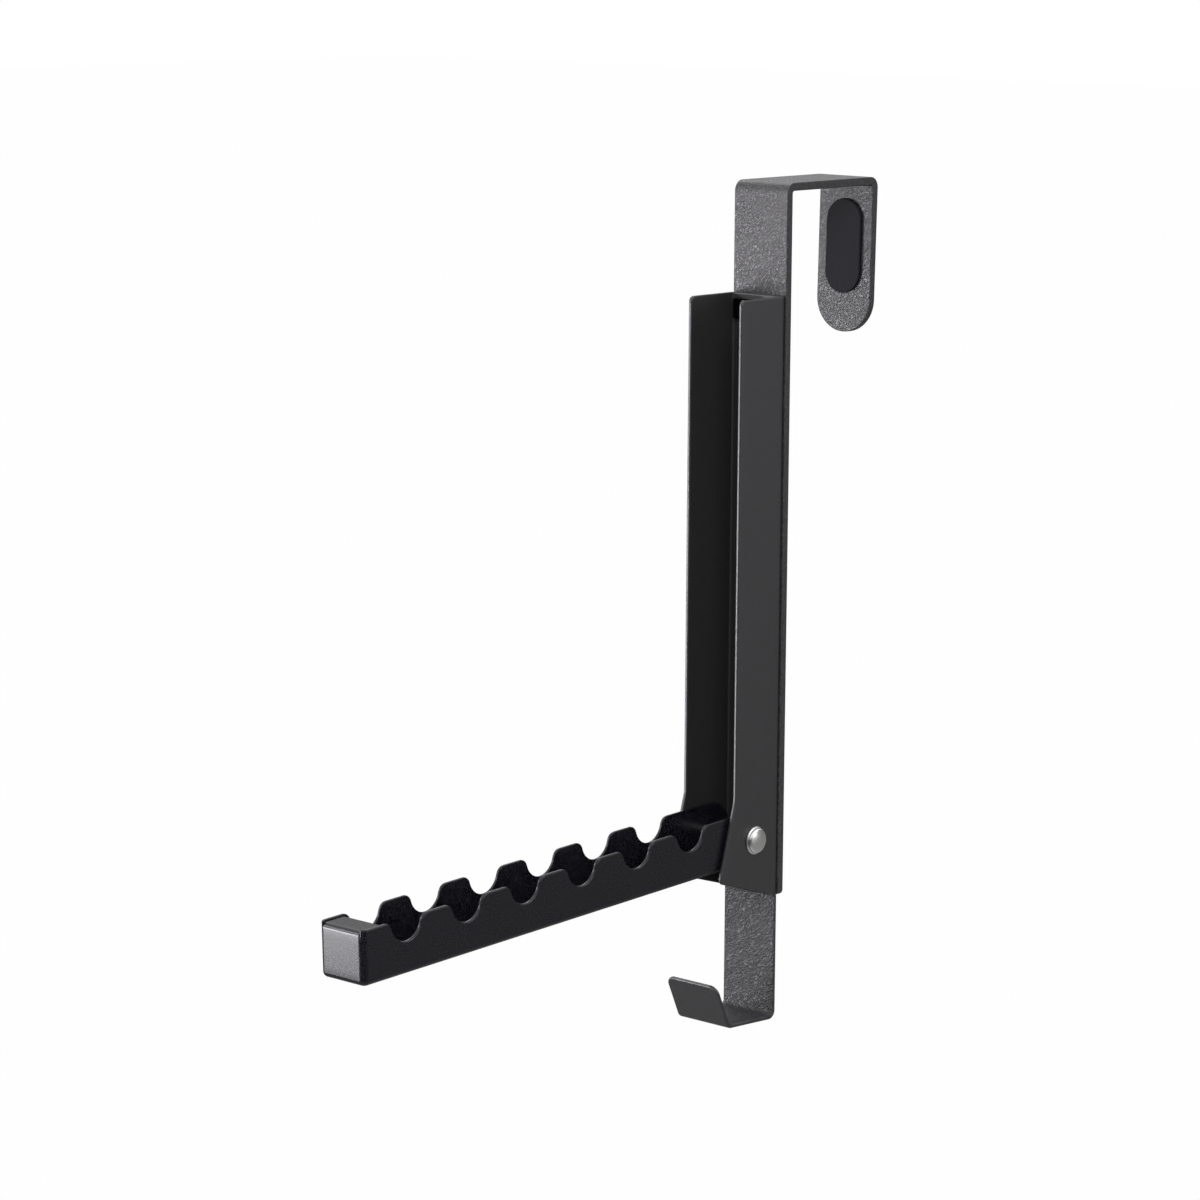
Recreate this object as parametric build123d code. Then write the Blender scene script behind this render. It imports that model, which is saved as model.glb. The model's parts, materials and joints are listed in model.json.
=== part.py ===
"""Over door hook with a folding, notched hanging arm.

A thick bent bar hooks over the top of a door. A channel folded from thinner sheet
is fixed to the bar's front leg, and its web runs on down into a small hook. Inside
the channel an arm turns on a rivet: it stands out from the door to carry clothes
hangers in its notches, and folds up into the channel, where a magnet holds it.

Frame: millimetres, +Z up, -Y out into the room, X along the door. The origin is the
middle of the top plate's underside, which rests on the door's top edge.
"""
import os
from math import cos, radians, sin, sqrt

from build123d import *

# Folding arm, one folded sheet, with its pivot as the zero of its own lengths
arm_reach = 199.3
arm_width = 21.0
arm_sheet = 1.2
arm_droop = 2.0
arm_above_pivot = 10.5
arm_below_pivot = 9.1
arm_heel_radius = 11.1
arm_foot_radius = 2.0
arm_tip_radius = 2.5
stop_clearance = 0.1

# Notches that hold the hangers
notch_count = 6
first_notch = 33.6
last_notch_to_tip = 20.7
notch_radius = 7.2
notch_depth = 8.0
tooth_radius = 3.5

# Flap at the arm's tip, which the magnet catches
flap_length = 10.6
flap_set_down = 0.6
flap_side_gap = 0.4
flap_bend_radius = 1.8

# Channel, folded from sheet, that stores the arm
arm_side_clearance = 0.6
channel_depth = 25.0
channel_sheet = 1.5
channel_inside_radius = 0.8
channel_top_drop = 37.6
channel_top_radius = 2.0
folded_tip_proud = 0.3
pivot_standoff = 13.8
flare_above_pivot = 16.3
flare_angle = 15.8
flare_length = 30.6
flare_bend_radius = 9.0
channel_foot_radius = 2.2
channel_below_pivot = 23.5

# Lower hook, a strip of the channel's web
hook_width_less = 1.0
hook_overlap = 1.2
hook_strip_length = 47.1
hook_floor_rise = 3.3
hook_floor_length = 27.0
hook_lip_length = 18.6
hook_lip_lean = 24.4
hook_inside_radius = 1.6
hook_corner_radius = 3.6

# Door strap, a bent flat bar
strap_set_in = 0.1
strap_thickness = 3.0
strap_inside_radius = 1.0
strap_edge_bevel = 0.4
strap_corner_radius = 2.0
door_gap = 46.5
tongue_length = 55.0
tongue_lean = 1.3

# Soft pads on the faces that touch the door
pad_width = 16.0
pad_length = 35.0
pad_thickness = 1.4
pad_edge_bevel = 0.3
tongue_pad_drop = 23.0
upper_pad_drop = 34.0
lower_pad_above_end = 28.0

# Magnet near the channel's top
magnet_width = 20.0
magnet_height = 7.4
magnet_top_gap = 2.1
magnet_air_gap = 0.1
magnet_edge_radius = 0.3

# Pivot rivet
rivet_shaft_diameter = 5.0
rivet_hole_clearance = 0.05
rivet_flange_diameter = 10.8
rivet_flange_thickness = 0.6
rivet_cap_diameter = 9.4
rivet_head_height = 2.4
rivet_dome_radius = 16.0
rivet_rim_bevel = 0.6

# Widths and depths that follow from the sizes above
arm_outer_half = arm_width / 2
arm_inner_half = arm_outer_half - arm_sheet
channel_width = arm_width + 2 * arm_side_clearance + 2 * channel_sheet
hook_width = channel_width - hook_width_less
strap_width = channel_width - 2 * strap_set_in
strap_front_y = -door_gap / 2 - strap_thickness
web_front_y = strap_front_y - channel_sheet
pivot_y = strap_front_y - pivot_standoff
rivet_hole_radius = rivet_shaft_diameter / 2 + rivet_hole_clearance
notch_pitch = (arm_reach - first_notch - last_notch_to_tip) / (notch_count - 1)

# Heights: the folded arm just reaches the channel's top, and strap and channel end together
pivot_drop = channel_top_drop + arm_reach - folded_tip_proud
flare_start_drop = pivot_drop - flare_above_pivot
front_leg_length = pivot_drop + channel_below_pivot
hook_floor_drop = front_leg_length + hook_strip_length
lower_pad_drop = front_leg_length - lower_pad_above_end
channel_top_z = -channel_top_drop
pivot_z = -pivot_drop


def side_view(path_or_face):
    """Lay a drawing of (forward or back, up) into the plane of the object's side."""
    return Plane.YZ * path_or_face


def bent_band(points, inside_radii, thickness, side):
    """A band of one thickness whose inner face follows the points round its bends."""
    face_line = FilletPolyline(*points, radius=inside_radii)
    return make_face(offset(face_line, amount=thickness, side=side))


def across(sketch, width):
    """Extrude a side view evenly to both sides of the object's middle."""
    return extrude(side_view(sketch), amount=width / 2, both=True)


def cross_rod(radius, length, y, z):
    """A round bar across the object, for holes."""
    return Pos(0, y, z) * Rot(0, 90, 0) * Cylinder(radius, length)


def door_strap():
    """Front leg, top plate and rear tongue, bent from one flat bar."""
    lean = radians(tongue_lean)
    half_gap = door_gap / 2
    tongue_foot = (half_gap - tongue_length * sin(lean), -tongue_length * cos(lean))
    inner_face = [(-half_gap, -front_leg_length), (-half_gap, 0), (half_gap, 0), tongue_foot]
    section = bent_band(inner_face, strap_inside_radius, strap_thickness, Side.LEFT)
    strap = across(section, strap_width)

    # the tongue ends in a full round, as wide as the bar
    round_radius = strap_width / 2
    foot = Pos(0, half_gap, -tongue_length + round_radius)
    below = Box(strap_width + 2, 8 * strap_thickness, 2 * round_radius, align=(Align.CENTER, Align.CENTER, Align.MAX))
    round_end = Rot(90, 0, 0) * Cylinder(round_radius, 10 * strap_thickness)
    strap = strap - foot * (below - round_end)

    leg_end = strap.edges().filter_by(Axis.Y).group_by(Axis.Z)[0]
    strap = fillet(leg_end, strap_corner_radius)

    # the bar's long edges are broken all round
    outline_edges = [edge for edge in strap.edges() if abs(edge.length - strap_thickness) > 0.01]
    return chamfer(outline_edges, strap_edge_bevel)


def pad_on(face_plane):
    """An oblong pad with round ends, lying on a face plane and standing out along its normal."""
    outline = Rot(0, 0, 90) * SlotOverall(pad_length, pad_width)
    pad = extrude(outline, amount=pad_thickness)
    pad = chamfer(pad.edges().group_by(Axis.Z)[-1], pad_edge_bevel)
    return face_plane * pad


def tongue_pad():
    """Pad on the tongue's door side."""
    lean = radians(tongue_lean)
    centre = (0, door_gap / 2 - tongue_pad_drop * sin(lean), -tongue_pad_drop * cos(lean))
    return pad_on(Plane(origin=centre, x_dir=(1, 0, 0), z_dir=(0, -cos(lean), sin(lean))))


def leg_pad(drop):
    """Pad on the front leg's door side."""
    return pad_on(Plane(origin=(0, -door_gap / 2, -drop), x_dir=(1, 0, 0), z_dir=(0, 1, 0)))


def channel_foot():
    """Lowest points of the channel's walls: the front corner and where the web ends."""
    flare = radians(flare_angle)
    front_y = strap_front_y - channel_depth - flare_length * sin(flare)
    front_z = -flare_start_drop - flare_length * cos(flare)
    return (front_y, front_z), (strap_front_y, -front_leg_length)


def lower_hook():
    """Strip that runs down from the web, turns out into a floor and up into a lip."""
    _, (_, web_end_z) = channel_foot()
    rise, lean = radians(hook_floor_rise), radians(hook_lip_lean)
    top = (strap_front_y, web_end_z + hook_overlap)
    heel = (strap_front_y, -hook_floor_drop)
    toe = (heel[0] - hook_floor_length * cos(rise), heel[1] + hook_floor_length * sin(rise))
    lip = (toe[0] - hook_lip_length * sin(lean), toe[1] + hook_lip_length * cos(lean))
    outer_radius = hook_inside_radius + channel_sheet
    section = bent_band([top, heel, toe, lip], outer_radius, channel_sheet, Side.RIGHT)
    hook = across(section, hook_width)
    lip_corners = hook.edges().filter_by(lambda edge: abs(edge.length - channel_sheet) < 0.01)
    lip_corners = [edge for edge in lip_corners if edge.center().Y < toe[0]]
    return fillet(lip_corners, hook_corner_radius)


def channel_bracket():
    """Open channel that stores the arm, with the lower hook on the same web."""
    front_foot, web_foot = channel_foot()
    front_y = strap_front_y - channel_depth
    rim = FilletPolyline(
        (strap_front_y, channel_top_z),
        (front_y, channel_top_z),
        (front_y, -flare_start_drop),
        front_foot,
        web_foot,
        radius=[channel_top_radius, flare_bend_radius, channel_foot_radius],
    )
    wall = make_face(rim.edges() + [Line(web_foot, (strap_front_y, channel_top_z))])
    channel = across(wall, channel_width)
    back_edges = channel.edges().filter_by(Axis.Z).group_by(Axis.Y)[-1]
    channel = fillet(back_edges, channel_inside_radius + channel_sheet)

    # the room between the walls, open to the front and at both ends
    room_depth = web_front_y - front_foot[0] + channel_depth
    room = Box(
        channel_width - 2 * channel_sheet,
        room_depth,
        2 * front_leg_length,
        align=(Align.CENTER, Align.MAX, Align.CENTER),
    )
    room = fillet(room.edges().filter_by(Axis.Z).group_by(Axis.Y)[-1], channel_inside_radius)
    channel = channel - Pos(0, web_front_y, -front_leg_length / 2) * room
    channel = channel - cross_rod(rivet_hole_radius, 2 * channel_width, pivot_y, pivot_z)
    return channel + lower_hook()


def arm_point(along, up):
    """A point of the arm's own side view, with the pivot at its zero and the tip forward."""
    return (-along, up)


def arm_wall_outline():
    """Side view of the arm: round heel, notched top edge, square tip and flat underside."""
    heel_corner = sqrt(arm_heel_radius**2 - arm_above_pivot**2)
    heel_end = pivot_standoff
    outline = Polyline(
        arm_point(-heel_corner, arm_above_pivot),
        arm_point(arm_reach, arm_above_pivot),
        arm_point(arm_reach, -arm_below_pivot),
        arm_point(-heel_end, -arm_below_pivot),
        arm_point(-heel_end, -arm_below_pivot / 2),
        arm_point(-arm_heel_radius, 0),
    )
    heel = RadiusArc(
        arm_point(-arm_heel_radius, 0),
        arm_point(-heel_corner, arm_above_pivot),
        arm_heel_radius,
    )
    wall = make_face(outline.edges() + heel.edges())

    # each notch is round at its bottom, and its mouth's corners are rounded into teeth
    notch_centre = arm_above_pivot - notch_depth + notch_radius
    mouths = []
    for index in range(notch_count):
        along = first_notch + index * notch_pitch
        wall = wall - Pos(*arm_point(along, notch_centre)) * Circle(notch_radius)
        mouths.append(along)
    half_mouth = sqrt(notch_radius**2 - (arm_above_pivot - notch_centre) ** 2)
    corners = [
        vertex
        for vertex in wall.vertices()
        if abs(vertex.Y - arm_above_pivot) < 0.01
        and any(abs(abs(-vertex.X - along) - half_mouth) < 0.01 for along in mouths)
    ]
    return fillet(corners, tooth_radius)


def flap_clearance_outline(tip_y, flap_top):
    """Side view of the space over the flap, which rounds the bend between tip plate and flap."""
    beyond = tip_y - flap_bend_radius
    behind = tip_y + 2 * flap_bend_radius
    bend_start = (tip_y, flap_top - flap_bend_radius)
    bend_end = (tip_y + flap_bend_radius, flap_top)
    bend = RadiusArc(bend_start, bend_end, flap_bend_radius)
    rest = Polyline(
        bend_end,
        (behind, flap_top),
        (behind, flap_top + arm_above_pivot),
        (beyond, flap_top + arm_above_pivot),
        (beyond, flap_top - flap_bend_radius),
        bend_start,
    )
    return make_face(bend.edges() + rest.edges())


def folding_arm():
    """Notched hanging arm: two walls, a floor, a closed tip and a flap, folded from one sheet."""
    body = across(arm_wall_outline(), arm_width)
    tip_y = -arm_reach
    upright = body.edges().filter_by(Axis.Z).group_by(Axis.Y)[0]
    body = fillet(upright, arm_tip_radius)
    underside = body.faces().sort_by(Axis.Z)[0]
    long_edges = [edge for edge in underside.edges() if edge.center().Y < -arm_heel_radius]
    body = fillet(long_edges, arm_foot_radius)

    # the hollow between the walls, which ends at the tip plate
    inner_top = 3 * arm_above_pivot
    hollow_floor = -arm_below_pivot + arm_sheet
    hollow = Box(
        2 * arm_inner_half,
        arm_reach - arm_sheet + 2 * pivot_standoff,
        inner_top - hollow_floor,
        align=(Align.CENTER, Align.MIN, Align.MIN),
    )
    hollow = fillet(hollow.edges().filter_by(Axis.Z).group_by(Axis.Y)[0], arm_tip_radius - arm_sheet)
    hollow = fillet(hollow.faces().sort_by(Axis.Z)[0].edges(), arm_foot_radius - arm_sheet)
    hollow = Pos(0, tip_y + arm_sheet, hollow_floor) * hollow

    # the flap stays behind between the walls, folded back from the tip plate
    flap_top = arm_above_pivot - flap_set_down
    flap_half = arm_inner_half - flap_side_gap
    flap = Pos(0, tip_y + arm_sheet / 2, flap_top) * Box(
        2 * flap_half,
        flap_length - arm_sheet / 2,
        arm_sheet,
        align=(Align.CENTER, Align.MIN, Align.MAX),
    )
    above_flap = across(flap_clearance_outline(tip_y, flap_top), 2 * flap_half)
    arm = body - hollow + flap - above_flap
    arm = arm - cross_rod(rivet_hole_radius, 2 * arm_width, 0, 0)

    # set at its resting angle on the pivot, then trimmed at the heel, where it stops on the web
    arm = Pos(0, pivot_y, pivot_z) * Rot(arm_droop, 0, 0) * arm
    behind_stop = Pos(0, web_front_y - stop_clearance, pivot_z) * Box(
        2 * arm_width,
        2 * pivot_standoff,
        6 * arm_above_pivot,
        align=(Align.CENTER, Align.MIN, Align.CENTER),
    )
    return arm - behind_stop


def tip_magnet():
    """Flat magnet on the web, which holds the folded arm by its flap."""
    folded_arm_y = pivot_y + arm_above_pivot
    thickness = web_front_y - folded_arm_y - magnet_air_gap
    magnet = Box(magnet_width, thickness, magnet_height, align=(Align.CENTER, Align.MAX, Align.MAX))
    magnet = fillet(magnet.faces().sort_by(Axis.Y)[0].edges(), magnet_edge_radius)
    return Pos(0, web_front_y, channel_top_z - magnet_top_gap) * magnet


def rivet_head():
    """Domed head with its seat at zero: a thin flange and a button with a rounded rim."""
    on_seat = (Align.CENTER, Align.CENTER, Align.MIN)
    flange = Cylinder(rivet_flange_diameter / 2, rivet_flange_thickness, align=on_seat)
    button = Cylinder(rivet_cap_diameter / 2, rivet_head_height, align=on_seat)
    button = button & Pos(0, 0, rivet_head_height - rivet_dome_radius) * Sphere(rivet_dome_radius)
    rims = [edge for edge in button.edges() if edge.is_closed]
    button = chamfer(max(rims, key=lambda edge: edge.center().Z), rivet_rim_bevel)
    return flange + button


def pivot_rivet():
    """Rivet through both walls of the channel and of the arm, with a head at each end."""
    seat = channel_width / 2
    shaft = Rot(0, 90, 0) * Cylinder(rivet_shaft_diameter / 2, channel_width)
    right_head = Pos(seat, 0, 0) * Rot(0, 90, 0) * rivet_head()
    left_head = Pos(-seat, 0, 0) * Rot(0, -90, 0) * rivet_head()
    return Pos(0, pivot_y, pivot_z) * (shaft + right_head + left_head)


def all_parts():
    """Every piece by the name of its file."""
    return {
        "door_strap": door_strap(),
        "tongue_pad": tongue_pad(),
        "channel_bracket": channel_bracket(),
        "tip_magnet": tip_magnet(),
        "folding_arm": folding_arm(),
        "pivot_rivet": pivot_rivet(),
        "leg_pad_upper": leg_pad(upper_pad_drop),
        "leg_pad_lower": leg_pad(lower_pad_drop),
    }


os.makedirs("parts", exist_ok=True)
for name, shape in all_parts().items():
    export_step(shape, "parts/" + name + ".step")
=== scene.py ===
"""Looks of an over door hook with a folding hanger arm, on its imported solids.

Each piece of folded metal is one smooth surface with a thickness: a function of two
numbers gives its outer side, the same function a sheet's thickness deeper gives its
inner side, and a rounded rim joins them. Lengths in the functions are millimetres.
"""
import json

import bmesh
import bpy
import numpy as np
from bpy.props import FloatProperty, FloatVectorProperty, PointerProperty
from mathutils import Matrix, Vector


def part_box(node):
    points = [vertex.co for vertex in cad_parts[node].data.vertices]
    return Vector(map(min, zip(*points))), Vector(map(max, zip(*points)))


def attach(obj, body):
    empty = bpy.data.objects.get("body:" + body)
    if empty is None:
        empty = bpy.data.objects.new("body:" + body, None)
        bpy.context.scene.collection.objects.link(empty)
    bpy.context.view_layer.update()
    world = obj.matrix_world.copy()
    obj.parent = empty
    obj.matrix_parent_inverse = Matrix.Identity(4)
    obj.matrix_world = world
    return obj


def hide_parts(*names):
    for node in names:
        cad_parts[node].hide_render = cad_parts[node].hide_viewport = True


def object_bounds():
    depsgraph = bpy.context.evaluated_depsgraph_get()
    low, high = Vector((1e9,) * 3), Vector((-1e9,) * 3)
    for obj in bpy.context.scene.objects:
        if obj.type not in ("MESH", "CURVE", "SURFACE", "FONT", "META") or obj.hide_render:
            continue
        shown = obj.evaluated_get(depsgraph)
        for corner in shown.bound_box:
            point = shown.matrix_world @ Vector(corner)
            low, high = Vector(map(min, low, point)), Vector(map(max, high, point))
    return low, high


bl_info = {
    "name": "Over door hook looks",
    "version": (1, 0, 0),
    "blender": (4, 5, 0),
    "location": "View3D > Sidebar > Door Hook",
    "description": "Builds the visible pieces, coats, lights and camera of an over door hook with a folding arm",
    "category": "Object",
}

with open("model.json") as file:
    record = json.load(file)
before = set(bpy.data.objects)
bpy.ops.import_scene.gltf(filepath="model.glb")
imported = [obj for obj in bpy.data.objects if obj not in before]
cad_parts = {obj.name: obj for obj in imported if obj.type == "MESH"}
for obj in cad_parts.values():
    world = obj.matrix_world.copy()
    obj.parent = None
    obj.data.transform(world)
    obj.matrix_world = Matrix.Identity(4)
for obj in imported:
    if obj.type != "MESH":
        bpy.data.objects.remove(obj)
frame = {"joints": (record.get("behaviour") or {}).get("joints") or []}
cad_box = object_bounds()
MM = 0.001
PIVOT = np.array(frame["joints"][0]["pos_m"]) / MM


# Settings that a user would change

class HookSheetSettings(bpy.types.PropertyGroup):
    """Sizes of the folded metal that only show close up."""

    bar_rim: FloatProperty(
        name="Bar rim", description="Rounding of the thick bar's edges", default=0.00035, min=0.0001, max=0.0014,
        subtype="DISTANCE", unit="LENGTH",
    )
    sheet_rim: FloatProperty(
        name="Sheet rim", description="Rounding of the channel's cut edges", default=0.0006,
        min=0.0001, max=0.0007, subtype="DISTANCE", unit="LENGTH",
    )
    arm_rim: FloatProperty(
        name="Arm rim", description="Rounding of the arm's cut edges outside, and half of it inside",
        default=0.0006, min=0.0001, max=0.0007, subtype="DISTANCE", unit="LENGTH",
    )
    pad_rim: FloatProperty(
        name="Pad rim", description="Rounding of the soft pads' outer edges", default=0.0006,
        min=0.0001, max=0.0012, subtype="DISTANCE", unit="LENGTH",
    )


class HookCoatSettings(bpy.types.PropertyGroup):
    """Colours and grain of the coats."""

    coat_colour: FloatVectorProperty(
        name="Coat colour", description="Powder coat on bar and channel", subtype="COLOR", size=4,
        min=0.0, max=1.0, default=(0.016, 0.0158, 0.0163, 1.0),
    )
    # The lighter colour is a painted glint on the grain's crests, and fine dust specks where the coat is thin.
    coat_fleck_and_glint: FloatVectorProperty(
        name="Coat fleck", description="Lighter grains in the powder coat", subtype="COLOR", size=4,
        min=0.0, max=1.0, default=(0.041, 0.0403, 0.0421, 1.0),
    )
    arm_colour: FloatVectorProperty(
        name="Arm colour", description="Finer coat on the folding arm", subtype="COLOR", size=4,
        min=0.0, max=1.0, default=(0.0010, 0.0009, 0.0013, 1.0),
    )
    pad_colour: FloatVectorProperty(
        name="Pad colour", description="Soft pads", subtype="COLOR", size=4,
        min=0.0, max=1.0, default=(0.013, 0.0124, 0.0150, 1.0),
    )
    grain_size: FloatProperty(
        name="Grain size", description="Width of one grain of the powder coat", default=0.0006,
        min=0.0002, max=0.004, subtype="DISTANCE", unit="LENGTH",
    )
    grain_relief: FloatProperty(
        name="Grain relief", description="Height of the powder coat's grain", default=0.00016, min=0.0, max=0.001,
        subtype="DISTANCE", unit="LENGTH",
    )


class HookStageSettings(bpy.types.PropertyGroup):
    """Light and backdrop."""

    key_power: FloatProperty(
        name="Key light", description="Power of the soft light at the front left", default=10.4, min=0.0,
        unit="POWER",
    )
    wide_power: FloatProperty(
        name="Wide light", description="Power of the broad weak light behind the key light", default=9.5, min=0.0,
        unit="POWER",
    )
    upper_power: FloatProperty(
        name="Upper light", description="Power of the small light above the key light", default=2.6, min=0.0,
        unit="POWER",
    )
    top_power: FloatProperty(
        name="Top light", description="Power of the light from above at the back left", default=3.0, min=0.0,
        unit="POWER",
    )
    card_power: FloatProperty(
        name="Side card", description="Power of the pale card at the right that the rivet mirrors", default=3.0,
        min=0.0, unit="POWER",
    )
    fill_power: FloatProperty(
        name="Fill light", description="Power of the even light from the front right", default=41.0, min=0.0,
        unit="POWER",
    )
    sky_level: FloatProperty(
        name="Room level", description="Strength of the even light from all round", default=0.10, min=0.0, max=2.0,
    )
    floor_drop: FloatProperty(
        name="Floor drop", description="Distance of the pale floor under the lower hook", default=2.0, min=0.0,
        subtype="DISTANCE", unit="LENGTH",
    )


# Surfaces and meshes

def grid_quads(rows, columns):
    """Corner numbers of the quads of a grid whose points are numbered row by row."""
    first = np.arange(rows - 1)[:, None] * columns + np.arange(columns - 1)[None, :]
    return np.stack([first, first + 1, first + 1 + columns, first + columns], axis=-1).reshape(-1, 4)


def build_piece(name, grids, body, nodes, finish, fans=()):
    """One closed mesh from grids of points (rows, columns, 3) in millimetres.

    Each fan is a flat ring of points that becomes one face.
    """
    points, faces, count = [], [], 0
    for grid in grids:
        rows, columns = grid.shape[:2]
        points.append(grid.reshape(-1, 3))
        faces.extend((grid_quads(rows, columns) + count).tolist())
        count += rows * columns
    for ring in fans:
        points.append(ring)
        faces.append(list(range(count, count + len(ring))))
        count += len(ring)
    mesh = bpy.data.meshes.new(name)
    mesh.from_pydata(np.concatenate(points) * MM, [], faces)
    knit = bmesh.new()
    knit.from_mesh(mesh)
    bmesh.ops.remove_doubles(knit, verts=knit.verts, dist=2e-6)
    bmesh.ops.dissolve_degenerate(knit, edges=knit.edges, dist=1e-7)
    bmesh.ops.recalc_face_normals(knit, faces=knit.faces)
    open_edges = sum(1 for edge in knit.edges if not edge.is_manifold)
    knit.to_mesh(mesh)
    knit.free()
    print(name, "faces", len(mesh.polygons), "open edges", open_edges)
    mesh.polygons.foreach_set("use_smooth", np.ones(len(mesh.polygons), bool))
    mesh.materials.append(finish)
    piece = bpy.data.objects.new(name, mesh)
    bpy.context.scene.collection.objects.link(piece)
    shading = piece.modifiers.new("flat_faces_lead", "WEIGHTED_NORMAL")
    shading.mode = "FACE_AREA"
    shading.weight = 70
    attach(piece, body)
    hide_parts(*nodes)
    return piece


def rim_levels(thickness, near, far):
    """Pairs (drawn in, depth) down a sheet's rim: a quarter round at each face with a flat between.

    At an angle, the rim is drawn in by the radius times one minus its sine, and lies deeper
    than the face by the radius times one minus its cosine.
    """
    turn = np.linspace(0, np.pi / 2, 6)
    top = [(near * (1 - np.sin(t)), near * (1 - np.cos(t))) for t in turn]
    foot = [(far * (1 - np.sin(t)), thickness - far * (1 - np.cos(t))) for t in turn[::-1]]
    return top + foot


def arc(centre, radius, start, end, steps):
    """Points on an arc in a plane, between two angles in degrees."""
    angle = np.radians(np.linspace(start, end, steps))
    return np.stack([centre[0] + radius * np.cos(angle), centre[1] + radius * np.sin(angle)], axis=-1)


def along_bends(length, depth, start, heading, runs):
    """Side view (y, z) of a bent strip: the point at a length along one face and a depth to the left of it.

    runs lists straight lengths with (radius, turn) between them: the radius of that face and the turn
    in degrees, positive to the left. On a bend the point is the bend's centre plus the radius, less
    the depth on a left turn, swung by the length over the radius.
    """
    depth = np.broadcast_to(np.asarray(depth, float), length.shape)
    here, angle, done = np.array(start, float), np.radians(heading), 0.0
    y = here[0] + np.cos(angle) * length - np.sin(angle) * depth
    z = here[1] + np.sin(angle) * length + np.cos(angle) * depth
    for run in runs:
        beyond = length >= done
        if isinstance(run, tuple):
            radius, turn = run[0], np.radians(run[1])
            side = np.sign(turn)
            centre = here + side * radius * np.array([-np.sin(angle), np.cos(angle)])
            swung = angle + side * (length - done) / radius
            reach = side * radius - depth
            y = np.where(beyond, centre[0] + np.sin(swung) * reach, y)
            z = np.where(beyond, centre[1] - np.cos(swung) * reach, z)
            done += radius * abs(turn)
            angle += turn
            here = centre + side * radius * np.array([np.sin(angle), -np.cos(angle)])
        else:
            y = np.where(beyond, here[0] + np.cos(angle) * (length - done) - np.sin(angle) * depth, y)
            z = np.where(beyond, here[1] + np.sin(angle) * (length - done) + np.cos(angle) * depth, z)
            done += run
            here = here + run * np.array([np.cos(angle), np.sin(angle)])
    return y, z


def bend_run(straights, bends):
    """Runs for along_bends from the lengths between sharp corners and each corner's (radius, turn)."""
    cut = [0.0] + [radius * np.tan(np.radians(abs(turn)) / 2) for radius, turn in bends] + [0.0]
    runs = []
    for number, straight in enumerate(straights):
        runs.append(straight - cut[number] - cut[number + 1])
        if number < len(bends):
            runs.append(bends[number])
    return runs


def run_stations(runs, first, last, coarse=8.0):
    """Lengths along the runs, close together on bends, from first to last and none crowding those two."""
    marks, done = [], 0.0
    for run in runs:
        size = run[0] * abs(np.radians(run[1])) if isinstance(run, tuple) else run
        steps = 10 if isinstance(run, tuple) else max(2, int(size / coarse))
        marks.append(np.linspace(done, done + size, steps, endpoint=False))
        done += size
    marks = np.concatenate(marks)
    crowd = 0.2
    marks = marks[(marks > first + crowd) & (marks < last - crowd)]
    return np.concatenate([[first], marks, [last]])


def run_length(runs):
    """Whole length of the runs on their own face."""
    return sum(run[0] * abs(np.radians(run[1])) if isinstance(run, tuple) else run for run in runs)


def strip_shell(place, half_width, stations, corners, thickness, near, far, joined=False):
    """Grids and end faces of a strip with rounded corners and rims.

    place(x, length, depth) puts a point of the flat strip in space. The outline at a drawn-in
    distance is two straight sides and four quarter arcs, each with its corner radius less that
    distance. joined leaves the first end square and at its full length, to meet another sheet.
    """
    first, last = stations[0], stations[-1]
    start_radius, end_radius = corners

    def outline(inset):
        wide = half_width - inset
        far_end = last + end_radius - inset
        radius = max(end_radius - inset, 0.0)
        right = arc((wide - radius, far_end - radius), radius, 0, 90, 13)
        left = arc((radius - wide, far_end - radius), radius, 90, 180, 13)
        if joined:
            begin = np.stack([np.linspace(-wide, wide, 9), np.full(9, first)], axis=-1)
        else:
            lower = first - start_radius + inset
            radius = max(start_radius - inset, 0.0)
            low_left = arc((radius - wide, lower + radius), radius, 180, 270, 13)
            low_right = arc((wide - radius, lower + radius), radius, 270, 360, 13)
            begin = np.concatenate([low_left, low_right])
        up = np.stack([np.full(len(stations) - 2, wide), stations[1:-1]], axis=-1)
        down = np.stack([np.full(len(stations) - 2, -wide), stations[-2:0:-1]], axis=-1)
        return up, np.concatenate([right, left]), down, begin

    def face(inset, depth):
        wide = half_width - inset
        up, end, down, begin = outline(inset)
        across = np.linspace(wide, -wide, 9)
        lengths = stations.copy()
        lengths[0], lengths[-1] = begin[-1, 1], end[0, 1]
        body = place(*np.meshgrid(across, lengths), depth)
        end_ring = np.concatenate([end, np.stack([across[-2:0:-1], np.full(7, lengths[-1])], axis=-1)])
        begin_ring = np.concatenate([begin, np.stack([across[1:-1], np.full(7, lengths[0])], axis=-1)])
        rings = [place(ring[:, 0], ring[:, 1], depth) for ring in (end_ring, begin_ring)]
        return body, rings if not joined else rings[:1]

    levels = rim_levels(thickness, near, far)
    loops = [(np.concatenate(outline(inset)), depth) for inset, depth in levels]
    rim = np.stack([place(loop[:, 0], loop[:, 1], depth) for loop, depth in loops])
    rim = np.concatenate([rim, rim[:, :1]], axis=1)
    near_body, near_rings = face(near, 0.0)
    far_body, far_rings = face(far, thickness)
    return [near_body, far_body, rim], near_rings + far_rings


def in_space(x, y, z):
    """Points (x, y, z) from three arrays of one shape."""
    return np.stack(np.broadcast_arrays(x, y, z), axis=-1).astype(float)


# Door strap, pads and magnet

STRAP = {"width": 25.0, "thickness": 3.0, "gap": 46.5, "inside_radius": 1.0, "leg": 260.1, "tongue": 55.0,
         "lean": 1.3, "corner": 2.0}
STRAP_FRONT = -STRAP["gap"] / 2 - STRAP["thickness"]


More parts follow.
